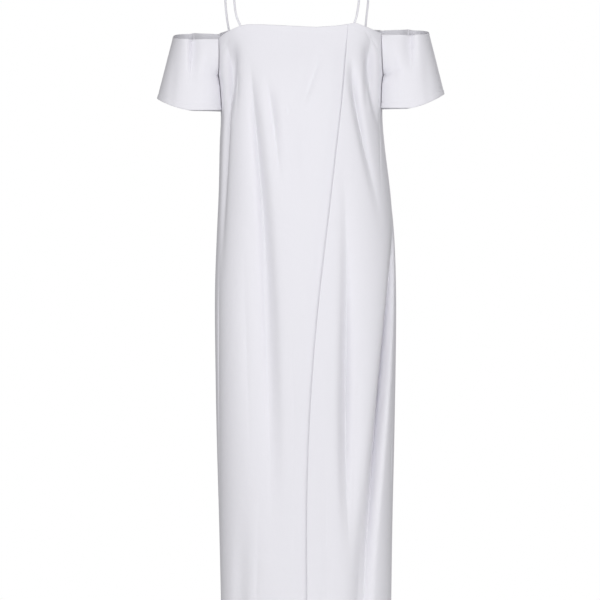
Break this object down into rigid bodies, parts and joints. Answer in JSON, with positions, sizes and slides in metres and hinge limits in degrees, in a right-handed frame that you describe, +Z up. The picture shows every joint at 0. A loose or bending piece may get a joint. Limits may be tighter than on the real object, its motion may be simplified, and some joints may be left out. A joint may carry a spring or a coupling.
{
  "type": "off-shoulder dress",
  "caption": "Long straight off-shoulder dress in white crepe with a lapped front, short flared sleeves and thin straps, hollow and filled out as worn.",
  "frame": {"origin": "midway between the shoulders, level with the underside of the straps where they lie on the shoulders", "axes": "+X to the viewer's right, -Y to the front of the dress, +Z up"},
  "size_m": [0.545, 0.2377, 1.3239],
  "materials": {
    "white_crepe": "matt midweight crepe with a fine pebbled surface",
    "strap_crepe": "the same crepe sewn into a thin round strap"
  },
  "bodies": {
    "root": {"front_under": "white_crepe", "front_over": "white_crepe", "back": "white_crepe", "sleeve_left": "white_crepe", "sleeve_right": "white_crepe", "strap_left": "strap_crepe", "strap_right": "strap_crepe"}
  },
  "joints": []
}
